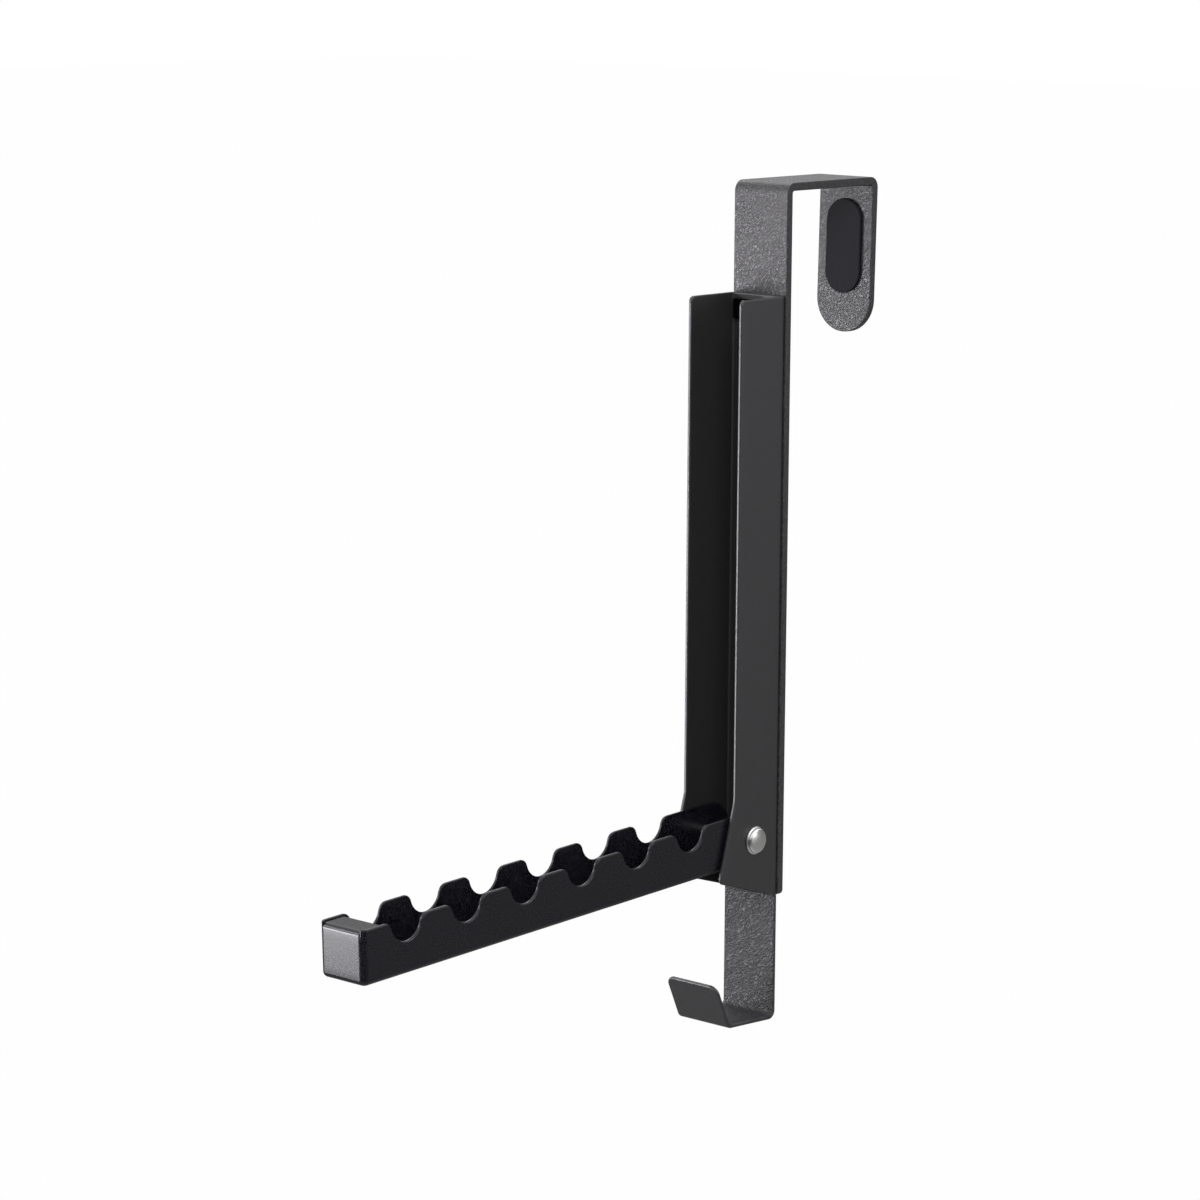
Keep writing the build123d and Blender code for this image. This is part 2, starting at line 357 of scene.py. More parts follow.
class HOOK_OT_door_strap(bpy.types.Operator):
    """Build the bent bar that hangs over the door"""

    bl_idname = "door_hook.door_strap"
    bl_label = "Door strap"

    def execute(self, context):
        half = STRAP["width"] / 2
        turns = [(STRAP["inside_radius"], -90.0), (STRAP["inside_radius"], -90.0 - STRAP["lean"])]
        runs = bend_run([STRAP["leg"], STRAP["gap"], STRAP["tongue"]], turns)

        def place(x, length, depth):
            y, z = along_bends(length, depth, (-STRAP["gap"] / 2, -STRAP["leg"]), 90.0, runs)
            return in_space(x, y, z)

        stations = run_stations(runs, STRAP["corner"], run_length(runs) - half)
        rim = context.scene.hook_sheet.bar_rim / MM
        grids, ends = strip_shell(place, half, stations, (STRAP["corner"], half), STRAP["thickness"], rim, rim)
        build_piece("bent_bar", grids, "bracket", ["door_strap"],
                    bar_coat(context.scene.hook_coat), ends)
        return {"FINISHED"}


PAD = {"width": 16.0, "length": 35.0, "thickness": 1.4, "tongue_drop": 23.0}


class HOOK_OT_pads(bpy.types.Operator):
    """Build the soft pads that rest on the door"""

    bl_idname = "door_hook.pads"
    bl_label = "Soft pads"

    def execute(self, context):
        finish = pad_foam(context.scene.hook_coat)
        half_gap, lean = STRAP["gap"] / 2, np.radians(STRAP["lean"])
        drop = PAD["tongue_drop"]
        seats = {"tongue_pad": ((half_gap - drop * np.sin(lean), -drop * np.cos(lean)), -1.0, lean)}
        for node in ("leg_pad_upper", "leg_pad_lower"):
            low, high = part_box(node)
            seats[node] = ((-half_gap, (low.z + high.z) / 2 / MM), 1.0, 0.0)
        for node, (seat, facing, tilt) in seats.items():

            def place(x, length, depth):
                y = seat[0] + facing * depth * np.cos(tilt) + length * np.sin(tilt)
                z = seat[1] + depth * np.sin(tilt) + length * np.cos(tilt)
                return in_space(x, y, z)

            half = PAD["width"] / 2
            reach = PAD["length"] / 2 - half
            stations = np.linspace(-reach, reach, 9)
            rim = context.scene.hook_sheet.pad_rim / MM
            grids, ends = strip_shell(place, half, stations, (half, half), PAD["thickness"], 0.0, rim)
            build_piece(node + "_foam", grids, "bracket", [node], finish, ends)
        return {"FINISHED"}


class HOOK_OT_magnet(bpy.types.Operator):
    """Build the flat magnet that holds the folded arm"""

    bl_idname = "door_hook.magnet"
    bl_label = "Tip magnet"

    def execute(self, context):
        low, high = (np.array(corner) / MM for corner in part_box("tip_magnet"))
        middle, size = (low + high) / 2, high - low

        def place(x, length, depth):
            return in_space(x, high[1] - depth, middle[2] + length)

        corner, rim = 0.6, 0.3
        reach = size[2] / 2 - corner
        stations = np.linspace(-reach, reach, 5)
        grids, ends = strip_shell(place, size[0] / 2, stations, (corner, corner), size[1], 0.0, rim)
        build_piece("catch_magnet", grids, "bracket", ["tip_magnet"], magnet_black(), ends)
        return {"FINISHED"}


# Channel bracket with the lower hook

CHANNEL = {"width": 25.2, "depth": 25.0, "sheet": 1.5, "back_radius": 2.3, "top": -37.6, "top_corner": 2.0,
           "kink": -220.3, "flare": 15.8, "flare_length": 30.6, "flare_radius": 9.0, "foot_corner": 2.2,
           "foot": -260.1}


def channel_front(inset):
    """Free edge of a channel wall, drawn in: (forward, up) from the top corner to the foot corner.

    A quarter round, the straight edge, a hollow blend into the flare, the flare and a round foot corner.
    """
    c, flare = CHANNEL, np.radians(CHANNEL["flare"])
    top = arc((c["depth"] - c["top_corner"], c["top"] - c["top_corner"]), c["top_corner"] - inset, 90, 0, 8)
    blend_top = c["kink"] + c["flare_radius"] * np.tan(flare / 2)
    blend = arc((c["depth"] + c["flare_radius"], blend_top), c["flare_radius"] + inset, 180, 180 + c["flare"], 8)
    corner = np.array([c["depth"], c["kink"]]) + c["flare_length"] * np.array([np.sin(flare), -np.cos(flare)])
    back = np.array([-np.sin(flare), np.cos(flare)])
    down = np.array([0.0, c["foot"]]) - corner
    down = down / np.linalg.norm(down)
    half = np.arccos(back @ down) / 2
    centre = corner + (back + down) / np.linalg.norm(back + down) * c["foot_corner"] / np.sin(half)
    last = np.degrees(np.arctan2(down[1], down[0])) + 90.0
    foot = arc(centre, c["foot_corner"] - inset, c["flare"], (last + 180) % 360 - 180, 9)
    straight = np.linspace(top[-1], blend[0], 28)[1:-1]
    slanted = np.linspace(blend[-1], foot[0], 6)[1:-1]
    return np.concatenate([top, straight, blend, slanted, foot])


def channel_blank(inset):
    """Flat blank of the channel, drawn in: grids of the distance across its developed width and of the height.

    Each wall is ruled between its bend line and its free edge. Bends and web have straight columns.
    """
    c = CHANNEL
    bend_start = c["width"] / 2 - c["back_radius"]
    bend = c["back_radius"] * np.pi / 2
    front = channel_front(inset)
    corner_y = c["depth"] + c["flare_length"] * np.sin(np.radians(c["flare"]))
    corner_z = c["kink"] - c["flare_length"] * np.cos(np.radians(c["flare"]))
    slope = (corner_z - c["foot"]) / corner_y
    share = (front[:, 1] - front[0, 1]) / (front[-1, 1] - front[0, 1])
    top = c["top"] - inset

    turned = np.linspace(0, 1, 9)
    forward = c["back_radius"] * (1 - np.cos(turned * np.pi / 2))
    drawn = inset * turned * np.sqrt(1 + slope**2)
    web = np.linspace(0, bend_start, 5)[:-1]
    inner_across = np.concatenate([web, bend_start + turned * bend])
    inner_foot = np.concatenate([np.full(4, c["foot"]), c["foot"] + slope * forward + drawn])
    inner_up = top + share[:, None] * (inner_foot - top)[None, :]

    fraction = np.linspace(0, 1, 7)[1:]
    line = bend_start + bend
    wall_across = line + fraction[None, :] * (front[:, :1] - c["back_radius"])
    wall_up = inner_up[:, -1:] + fraction[None, :] * (front[:, 1:] - inner_up[:, -1:])
    across = np.concatenate([np.tile(inner_across, (len(front), 1)), wall_across], axis=1)
    up = np.concatenate([inner_up, wall_up], axis=1)
    return np.concatenate([-across[:, :0:-1], across], axis=1), np.concatenate([up[:, :0:-1], up], axis=1)


def channel_place(across, up, depth):
    """Fold the channel's blank: flat web, a quarter round at each side, and walls that run forward."""
    c = CHANNEL
    bend_start = c["width"] / 2 - c["back_radius"]
    bend = c["back_radius"] * np.pi / 2
    side, off = np.sign(across), np.abs(across)
    turn = np.clip((off - bend_start) / c["back_radius"], 0, np.pi / 2)
    reach = c["back_radius"] - depth
    x = side * (np.minimum(off, bend_start) + reach * np.sin(turn))
    forward = c["back_radius"] - reach * np.cos(turn) + np.maximum(off - bend_start - bend, 0)
    return in_space(x, STRAP_FRONT - forward, up)


def border(grid):
    """Points round a grid's border, once round, without repeating the first."""
    return np.concatenate([grid[0, :-1], grid[:-1, -1], grid[-1, :0:-1], grid[:0:-1, 0]])


LOWER_HOOK = {"width": 24.2, "strip": 47.1, "floor": 27.0, "rise": 3.3, "lip": 18.6, "lean": 24.4, "radius": 3.1,
              "corner": 3.6}


class HOOK_OT_channel(bpy.types.Operator):
    """Build the folded channel and the lower hook on its web"""

    bl_idname = "door_hook.channel"
    bl_label = "Channel bracket"

    def execute(self, context):
        rim = context.scene.hook_sheet.sheet_rim / MM
        sheet = CHANNEL["sheet"]
        faces = [channel_place(*channel_blank(rim), depth) for depth in (0.0, sheet)]
        levels = rim_levels(sheet, rim, rim)
        edge = np.stack([border(channel_place(*channel_blank(inset), depth)) for inset, depth in levels])
        edge = np.concatenate([edge, edge[:, :1]], axis=1)

        # the strip starts a little inside the web, so that the two closed skins share no edge
        h, overlap = LOWER_HOOK, 0.2
        turns = [(h["radius"], -90.0 - h["rise"]), (h["radius"], -90.0 + h["rise"] + h["lean"])]
        runs = bend_run([h["strip"] + overlap, h["floor"], h["lip"]], turns)

        def place(x, length, depth):
            y, z = along_bends(length, -depth, (STRAP_FRONT, CHANNEL["foot"] + overlap), -90.0, runs)
            return in_space(x, y, z)

        stations = run_stations(runs, 0.0, run_length(runs) - h["corner"], 6.0)
        half = h["width"] / 2
        hook, ends = strip_shell(place, half, stations, (0.0, h["corner"]), sheet, rim, rim, joined=True)
        build_piece("folded_channel", faces + [edge] + hook, "bracket", ["channel_bracket"],
                    channel_coat(context.scene.hook_coat), ends)
        return {"FINISHED"}


# Folding arm

ARM = {"half": 10.5, "sheet": 1.2, "reach": 199.3, "above": 10.5, "below": 9.1, "foot_radius": 2.0,
       "tip_radius": 2.5, "heel": 11.1, "heel_end": 13.72, "droop": 2.0, "count": 6, "first": 33.6, "pitch": 29.0,
       "notch_radius": 7.2, "notch_depth": 8.0, "tooth_radius": 3.5, "flap_half": 8.9, "flap_drop": 0.6,
       "flap_bend": 1.8, "flap_length": 10.6}


def arm_top_edge(inset):
    """Top edge of an arm wall, drawn in, as (along, up) from the heel to where the tip's corner begins.

    Each notch is an arc of its radius plus the distance drawn in, between two tooth arcs of theirs less it.
    """
    a = ARM
    top = a["above"] - inset
    heel = a["heel"] - inset
    corner = 180.0 - np.degrees(np.arcsin(top / heel))
    heel_arc = arc((0.0, 0.0), heel, 180.0, corner, 9)
    foot = np.array([[-a["heel_end"], -a["below"] / 2 - inset]])
    centre_up = a["above"] - a["notch_depth"] + a["notch_radius"]
    tooth_up = a["above"] - a["tooth_radius"]
    span = a["notch_radius"] + a["tooth_radius"]
    away = np.sqrt(span**2 - (centre_up - tooth_up) ** 2)
    tilt = np.degrees(np.arcsin((centre_up - tooth_up) / span))
    tooth = a["tooth_radius"] - inset
    shape = np.concatenate([
        arc((-away, tooth_up), tooth, 90, tilt, 7),
        arc((0.0, centre_up), a["notch_radius"] + inset, 180 + tilt, 360 - tilt, 19)[1:],
        arc((away, tooth_up), tooth, 180 - tilt, 90, 7)[1:],
    ])
    places = a["first"] + a["pitch"] * np.arange(a["count"])
    notches = shape[None, :, :] + np.stack([places, np.zeros(a["count"])], axis=-1)[:, None, :]
    end = np.array([[a["reach"] - a["tip_radius"], top]])
    return np.concatenate([foot, heel_arc, notches.reshape(-1, 2), end])


def arm_space(x, along, up):
    """Arm's own lengths to space: turned down by the droop about the pivot, and kept off the web at the heel."""
    droop = np.radians(ARM["droop"])
    y = PIVOT[1] - along * np.cos(droop) - up * np.sin(droop)
    z = PIVOT[2] - along * np.sin(droop) + up * np.cos(droop)
    return in_space(x, np.minimum(y, STRAP_FRONT - CHANNEL["sheet"] - 0.1), z)


def arm_profile(columns, tops, edge, depth, rim):
    """Rows of an arm wall at one depth: the foot's quarter round, then straight up to the edge's rim.

    columns gives, for each place along the plan outline, (x, along, outward x, outward along) at the
    outer face; a row drawn in by a distance moves against the outward direction by it.
    """
    a = ARM
    turn = np.linspace(0, np.pi / 2, FOOT_ROWS)[:, None]
    reach = a["foot_radius"] - depth
    inward = a["foot_radius"] - reach * np.sin(turn)
    up = -a["below"] + a["foot_radius"] - reach * np.cos(turn)
    x = columns[:, 0] - columns[:, 2] * inward
    along = columns[:, 1] - columns[:, 3] * inward
    foot = (x, along, up + 0 * x)
    share = wall_shares(rim)[1:, None]
    x = columns[:, 0] - columns[:, 2] * depth + 0 * share
    base = columns[:, 1] - columns[:, 3] * depth
    along = base + share * (edge - columns[:, 1])
    up = WALL_START + share * (tops - WALL_START)
    return [np.concatenate(pair) for pair in zip(foot, (x, along, up))]


FLAP_START = ARM["above"] - ARM["flap_drop"] - ARM["flap_bend"]
WALL_START = -ARM["below"] + ARM["foot_radius"]
FOOT_ROWS, LOW_ROWS = 7, 6
PLATE_ROWS = FOOT_ROWS + LOW_ROWS


def wall_shares(rim):
    """Heights of the wall's rows as shares: evenly up to where the flap bends off, then to the rim."""
    low = (FLAP_START - WALL_START) / (ARM["above"] - rim - WALL_START)
    return np.concatenate([np.linspace(0, low, LOW_ROWS + 1), np.linspace(low, 1, 4)[1:]])


SLIT_TURN = np.degrees(np.arccos((ARM["flap_half"] - ARM["half"] + ARM["tip_radius"]) / ARM["tip_radius"]))


def arm_corner(start, end, steps):
    """Columns round the right tip corner, between two angles from the wall's side to the tip plate's."""
    turn = np.radians(np.linspace(start, end, steps))
    out_x, out_along = np.cos(turn), np.sin(turn)
    x = ARM["half"] - ARM["tip_radius"] + ARM["tip_radius"] * out_x
    along = ARM["reach"] - ARM["tip_radius"] + ARM["tip_radius"] * out_along
    return np.stack([x, along, out_x, out_along], axis=-1)


def arm_wall_grid(rim):
    """Section of the right wall, carried along its plan outline from the heel to the flap's slit.

    Its rows run up the outer face, over the rim and down the inner face.
    """
    a = ARM
    corner = arm_corner(0.0, SLIT_TURN, 7)[1:]
    outline = arm_top_edge(0.0)
    wall = np.stack([
        np.full(len(outline), a["half"]), outline[:, 0], np.ones(len(outline)), np.zeros(len(outline)),
    ], axis=-1)
    columns = np.concatenate([wall, corner])

    def edge(inset):
        line = arm_top_edge(inset)
        along = np.concatenate([line[:, 0], corner[:, 1]])
        up = np.concatenate([line[:, 1], np.full(len(corner), a["above"] - inset)])
        return along, up

    along, up = edge(rim)
    outer = arm_profile(columns, up, along, 0.0, rim)
    along, up = edge(rim / 2)
    inner = arm_profile(columns, up, along, a["sheet"], rim / 2)
    middle = []
    for inset, depth in rim_levels(a["sheet"], rim, rim / 2)[1:-1]:
        along, up = edge(inset)
        middle.append([columns[:, 0] - columns[:, 2] * depth, along - columns[:, 3] * depth, up])
    middle = np.stack(middle, axis=1)
    return tuple(np.concatenate([out, mid, back[::-1]]) for out, mid, back in zip(outer, middle, inner))


def arm_tip_grid(rim):
    """Section of tip plate and flap, carried across the tip from slit to slit.

    The plate rises to the bend, the bend turns a quarter round back, and the flap runs back to its rim.
    Its rows run along the outer face, over the rim and back along the inner face.
    """
    a = ARM
    right = arm_corner(SLIT_TURN, 90.0, 4)
    flat_x = np.linspace(a["half"] - a["tip_radius"], a["tip_radius"] - a["half"], 11)[1:-1]
    flat = np.stack([flat_x, np.full(9, a["reach"]), np.zeros(9), np.ones(9)], axis=-1)
    left = right[::-1] * np.array([-1, 1, -1, 1])
    columns = np.concatenate([right, flat, left])

    def flap_rows(depth):
        turn = np.linspace(0, np.pi / 2, 8)[1:, None]
        reach = a["flap_bend"] - depth
        plate_x = columns[:, 0] - columns[:, 2] * depth
        plate_along = columns[:, 1] - columns[:, 3] * depth
        x = plate_x + (columns[:, 0] - plate_x) * np.sin(turn)
        along = columns[:, 1] - a["flap_bend"] + reach * np.cos(turn) * (1 + 0 * columns[:, 1])
        ease = (1 - np.sin(turn)) * (plate_along - (columns[:, 1] - depth))
        return x, along + ease, FLAP_START + reach * np.sin(turn) + 0 * x

    def flat_rows(depth, edge_rim):
        share = np.linspace(0, 1, 6)[1:, None]
        front = columns[:, 1] - a["flap_bend"]
        back = a["reach"] - a["flap_length"] + edge_rim
        along = front + share * (back - front)
        return columns[:, 0] + 0 * along, along, FLAP_START + a["flap_bend"] - depth + 0 * along

    def side(depth, edge_rim):
        tops = np.full(len(columns), a["above"] - edge_rim)
        plate = [rows[:PLATE_ROWS] for rows in arm_profile(columns, tops, columns[:, 1], depth, edge_rim)]
        return [np.concatenate(trio) for trio in zip(plate, flap_rows(depth), flat_rows(depth, edge_rim))]

    levels = np.array(rim_levels(a["sheet"], rim, rim / 2)[1:-1])[:, :, None]
    inset, level = levels[:, 0], levels[:, 1]
    across = columns[None, :, 0]
    edge = (across + 0 * inset, a["reach"] - a["flap_length"] + inset + 0 * across,
            FLAP_START + a["flap_bend"] - level + 0 * across)
    outer, inner = side(0.0, rim), side(a["sheet"], rim / 2)
    return tuple(np.concatenate([out, mid, back[::-1]]) for out, mid, back in zip(outer, edge, inner))


def section_cap(section, column, start):
    """Flat strip that closes a section's open end: each outer row meets the inner row at its height."""
    half = section.shape[0] // 2
    return np.stack([section[start:half, column], section[::-1][start:half, column]])


class HOOK_OT_arm(bpy.types.Operator):
    """Build the notched arm, folded from one sheet, with its flap"""

    bl_idname = "door_hook.arm"
    bl_label = "Folding arm"

    def execute(self, context):
        rim = context.scene.hook_sheet.arm_rim / MM
        wall, tip = arm_wall_grid(rim), arm_tip_grid(rim)
        right, left = arm_space(*wall), arm_space(-wall[0], wall[1], wall[2])
        front = arm_space(*tip)
        slit = PLATE_ROWS - 1
        grids = [right, left, front, section_cap(front, 0, slit), section_cap(front, -1, slit)]
        for side in (right, left):
            grids += [section_cap(side, 0, 0), section_cap(side, -1, slit)]
        share = np.linspace(0, 1, front.shape[1])[None, :, None]
        floors = []
        for row in (0, -1):
            across = right[row][:, None] * (1 - share) + left[row][:, None] * share
            floors.append(np.concatenate([across, front[row][None]]))
        grids += floors + [np.stack([floors[0][0], floors[1][0]])]
        build_piece("notched_arm", grids, "arm", ["folding_arm"],
                    arm_coat(context.scene.hook_coat))
        return {"FINISHED"}


# Pivot rivet

RIVET = {"shaft": 5.0, "flange": 10.4, "flange_rise": 0.6, "cap": 9.4, "rise": 2.4, "rim": 0.9, "dome": 16.0}


class HOOK_OT_rivet(bpy.types.Operator):
    """Build the rivet that the arm turns on"""

    bl_idname = "door_hook.rivet"
    bl_label = "Pivot rivet"

    def execute(self, context):
        r, seat = RIVET, CHANNEL["width"] / 2
        cap, dome = r["cap"] / 2, r["dome"]
        flat = cap - r["rim"]
        sag = dome - np.sqrt(dome**2 - flat**2)
        lean = np.degrees(np.arcsin(flat / dome))
        crown = arc((seat + r["rise"] - dome, 0.0), dome, 0.0, lean, 9)
        edge = arc((seat + r["rise"] - sag - r["rim"], flat), r["rim"], lean, 90, 7)
        ring = arc((seat + r["flange_rise"] - 0.2, r["flange"] / 2 - 0.2), 0.2, 0.0, 90.0, 5)
        head = np.concatenate([
            crown, edge[1:], [[seat + r["flange_rise"], cap]], ring,
            [[seat, r["flange"] / 2], [seat, r["shaft"] / 2]],
        ])
        profile = np.concatenate([head, head[::-1] * np.array([-1.0, 1.0])])
        turn = np.radians(np.linspace(0, 360, 65))[None, :]
        radius, along = profile[:, 1:], profile[:, :1]
        grid = in_space(along + 0 * turn, PIVOT[1] + radius * np.cos(turn), PIVOT[2] + radius * np.sin(turn))
        build_piece("rivet", [grid], "bracket", ["pivot_rivet"], rivet_coat())
        return {"FINISHED"}


# Shader maths

class Grade:
    """A value or colour on its way through a finish; sums with numbers and other grades add Math nodes."""

    def __init__(self, finish, socket):
        self.finish = finish
        self.socket = socket

    def maths(self, operation, first, second):
        """One Math node on two numbers or grades."""
        return self.finish.node("ShaderNodeMath", {"operation": operation}, {0: first, 1: second})

    def __add__(self, other):
        return self.maths("ADD", self, other)

    def __radd__(self, other):
        return self.maths("ADD", other, self)

    def __sub__(self, other):
        return self.maths("SUBTRACT", self, other)

    def __rsub__(self, other):
        return self.maths("SUBTRACT", other, self)

    def __mul__(self, other):
        return self.maths("MULTIPLY", self, other)

    def __rmul__(self, other):
        return self.maths("MULTIPLY", other, self)


class Finish:
    """A coat or backdrop in the making: its owner's node tree, and one method that adds any node to it."""

    def __init__(self, owner, closing="ShaderNodeOutputMaterial"):
        self.owner = owner
        self.closing = closing
        self.owner.use_nodes = True
        self.tree = self.owner.node_tree
        self.tree.nodes.clear()

    def node(self, kind, settings, sockets, result=0):
        """Add a node: its settings first, then a value or a link at each named or numbered socket."""
        node = self.tree.nodes.new(kind)
        for name, value in settings.items():
            setattr(node, name, value)
        for name, value in sockets.items():
            if isinstance(value, Grade):
                self.tree.links.new(value.socket, node.inputs[name])
            else:
                node.inputs[name].default_value = value
        return Grade(self, node.outputs[result]) if result is not None else None

    def close(self, shader):
        """Join the shader to the owner's surface and hand the owner back."""
        self.node(self.closing, {}, {"Surface": shader}, None)
        return self.owner

    def place(self, turn=(0.0, 0.0, 0.0), stretch=(1.0, 1.0, 1.0)):
        """Object coordinates for a pattern that is stretched by factors and then turned by angles in degrees."""
        spot = self.node("ShaderNodeTexCoord", {}, {}, "Object")
        angles = [float(np.radians(angle)) for angle in turn]
        sockets = {"Vector": spot, "Rotation": angles, "Scale": stretch}
        return self.node("ShaderNodeMapping", {"vector_type": "TEXTURE"}, sockets)

    def axis(self, letter):
        """One object coordinate."""
        spot = self.node("ShaderNodeTexCoord", {}, {}, "Object")
        return self.node("ShaderNodeSeparateXYZ", {}, {"Vector": spot}, letter)

    def ray(self, kind):
        """1 for rays of the kind, else 0."""
        return self.node("ShaderNodeLightPath", {}, {}, "Is " + kind + " Ray")

    def noise(self, place, size, detail=2.0, distortion=0.0):
        """Cloudy grain whose patches are about size wide, 0 to 1."""
        sockets = {"Vector": place, "Scale": 1.0 / size, "Detail": detail, "Distortion": distortion}
        return self.node("ShaderNodeTexNoise", {}, sockets, "Fac")

    def band(self, value, low, high):
        """Value brought from low..high to 0..1 with soft ends."""
        settings = {"interpolation_type": "SMOOTHSTEP"}
        return self.node("ShaderNodeMapRange", settings, {"Value": value, "From Min": low, "From Max": high})

    def blend(self, share, first, second):
        """Colour mixed from first to second by the share."""
        return self.node("ShaderNodeMix", {"data_type": "RGBA"}, {0: share, 6: first, 7: second}, 2)

    def relief(self, height, depth):
        """Bumped normal from a height of 0 to 1 that stands for the depth."""
        return self.node("ShaderNodeBump", {}, {"Height": height, "Distance": depth, "Strength": 1.0}, "Normal")

    def coat(self, **sockets):
        """Close the finish with its main shader; underscores in the names stand for spaces."""
        named = {name.replace("_", " "): value for name, value in sockets.items()}
        return self.close(self.node("ShaderNodeBsdfPrincipled", {}, named))


# Finishes

def wrinkled_coat(name, size, relief, dark, light, rough, gloss, coarse=None):
    """Textured powder coat: short worm-like wrinkles lying askew, with finer pimples between them.

    The two grains make one height. Its crests take the lighter colour, a painted glint of light catching them, and
    shine a little more.
    coarse(finish) tells, 0 to 1, where the coat is so. Elsewhere it is thin: almost flat and
    even in gloss, with fine dust in it.
    """
    finish = Finish(bpy.data.materials.new(name))
    wrinkle = finish.noise(finish.place(turn=(0.0, 48.0, 0.0), stretch=(1.0, 1.0, 2.4)), size, distortion=0.6)
    pimple = finish.noise(finish.place(), size * 0.7, detail=1.0)
    cloud = finish.noise(finish.place(), size * 14.0)
    height = finish.band(wrinkle, 0.36, 0.64) * 0.7 + finish.band(pimple, 0.35, 0.65) * 0.3
    bump = height
    roughness = (rough + 0.06) + 0.05 * cloud - 0.16 * height
    if coarse:
        share = coarse(finish)
        dust = finish.band(finish.noise(finish.place(), size * 0.55, detail=1.0), 0.32, 0.68)
        bump = height * share + (1 - share) * (0.03 * dust)
        height = height * share + (1 - share) * (0.15 + 0.45 * dust)
        roughness = roughness * share + (1 - share) * (0.39 + 0.06 * dust)
    # Painted glint: the crests' lighter colour stands in for light catching the grain; on the thin coat the same
    # colour gives fine dust specks.
    colour = finish.blend(finish.band(height, 0.3, 0.95), dark, light)
    normal = finish.relief(bump, relief)
    return finish.coat(Base_Color=colour, Roughness=roughness, Normal=normal, Specular_IOR_Level=gloss,
                       Specular_Tint=[0.97, 0.94, 1.0, 1.0])


def bar_coat(look):
    """Thick coat of the bent bar."""
    return wrinkled_coat("bar_coat", look.grain_size, look.grain_relief, list(look.coat_colour),
                         list(look.coat_fleck_and_glint), 0.40, 0.86)


def channel_coat(look):
    """The channel's coat: the same powder, coarse on the lower hook's strip, thin on its lip and on the walls; the
    painted glint on the grain's crests shows only on the coarse strip.
    """

    # The share also limits the painted glint on the crests to the strip, which faces the key light, and keeps it
    # off the walls and lip.
    def coarse(finish):
        foot, lip = CHANNEL["foot"] * MM, (STRAP_FRONT - LOWER_HOOK["floor"]) * MM
        below_foot = 1 - finish.band(finish.axis("Z"), foot, foot + 0.0015)
        behind_lip = finish.band(finish.axis("Y"), lip + 0.008, lip + 0.016)
        return below_foot * behind_lip

    return wrinkled_coat("channel_coat", look.grain_size * 1.2, look.grain_relief * 2.6, list(look.coat_colour),
                         list(look.coat_fleck_and_glint), 0.40, 1.0, coarse)


def arm_coat(look):
    """Thin satin coat of the folding arm: fine orange peel with dust in it."""
    finish = Finish(bpy.data.materials.new("arm_coat"))
    peel = finish.noise(finish.place(), 0.0011)
    speck = finish.band(finish.noise(finish.place(), 0.0005, detail=1.0), 0.40, 0.75)
    cloud = finish.noise(finish.place(), 0.012)
    tint = [18.0 * channel for channel in look.arm_colour[:3]] + [1.0]
    colour = finish.blend(speck, list(look.arm_colour), tint)
    roughness = 0.25 + 0.02 * speck + 0.05 * cloud
    normal = finish.relief(peel * 0.6 + speck * 0.1, 0.000008)
    return finish.coat(Base_Color=colour, Roughness=roughness, Normal=normal, Specular_IOR_Level=0.60,
                       Specular_Tint=[0.97, 0.95, 1.0, 1.0])


def rivet_coat():
    """Bright satin metal, tumbled: faint even scratches and small dull patches."""
    finish = Finish(bpy.data.materials.new("satin_rivet"))
    scratch = finish.noise(finish.place(turn=(20.0, 0.0, 0.0), stretch=(1.0, 0.12, 1.0)), 0.0003)
    dull = finish.noise(finish.place(), 0.004, detail=3.0)
    colour = finish.blend(finish.band(dull, 0.3, 0.7), [0.93, 0.92, 0.91, 1.0], [0.97, 0.97, 0.96, 1.0])
    roughness = 0.24 + 0.06 * dull + 0.02 * scratch
    normal = finish.relief(scratch, 0.000002)
    return finish.coat(Base_Color=colour, Metallic=1.0, Roughness=roughness, Normal=normal)


def pad_foam(look):
    """Soft dark pad: matte and smooth, with shut pores that only show close up."""
    finish = Finish(bpy.data.materials.new("pad_foam"))
    cells = finish.node("ShaderNodeTexVoronoi", {"feature": "F1"}, {"Vector": finish.place(), "Scale": 2600.0})
    pore = finish.band(cells, 0.05, 0.5)
    mottle = finish.noise(finish.place(), 0.003, detail=3.0)
    light = [1.25 * channel for channel in look.pad_colour[:3]] + [1.0]
    colour = finish.blend(pore * (0.3 + 0.4 * mottle), list(look.pad_colour), light)
    roughness = 0.85 + 0.1 * mottle
    normal = finish.relief(pore, 0.00003)
    return finish.coat(Base_Color=colour, Roughness=roughness, Normal=normal, Specular_IOR_Level=0.25)


def magnet_black():
    """Pressed black magnet: dull, with a fine grain."""
    finish = Finish(bpy.data.materials.new("magnet_black"))
    grain = finish.noise(finish.place(), 0.0004)
    colour = finish.blend(grain, [0.0004, 0.0004, 0.0004, 1.0], [0.0015, 0.0015, 0.0015, 1.0])
    roughness = 0.6 + 0.2 * grain
    return finish.coat(Base_Color=colour, Roughness=roughness, Normal=finish.relief(grain, 0.00002),
                       Specular_IOR_Level=0.04)


# Light, backdrop and camera

CAMERA_SPOT = (0.9088, -1.12295, 0.1001)
CAMERA_AHEAD = (-0.65833, 0.73243, -0.17361)
CAMERA_UP = (-0.12084, 0.12481, 0.98479)
CAMERA_LENS = 117.90
FLOOR_REACH = 45.0

# Each lamp's way from the object's middle, its width and height, and the setting with its power
LAMPS = {
    "key_light": ((-0.86, -0.98, -0.21), (0.5, 0.46), "key_power"),
    "wide_light": ((-1.15, -1.10, -0.12), (2.6, 0.45), "wide_power"),
    "top_light": ((-0.75, 0.80, 0.95), (0.6, 0.6), "top_power"),
    "upper_light": ((-0.84, -0.84, 0.44), (0.5, 0.16), "upper_power"),
    "side_card": ((1.30, 0.68, 0.26), (0.6, 0.8), "card_power"),
    "front_light": ((1.10, -1.20, 0.90), (1.2, 1.2), "fill_power"),
}


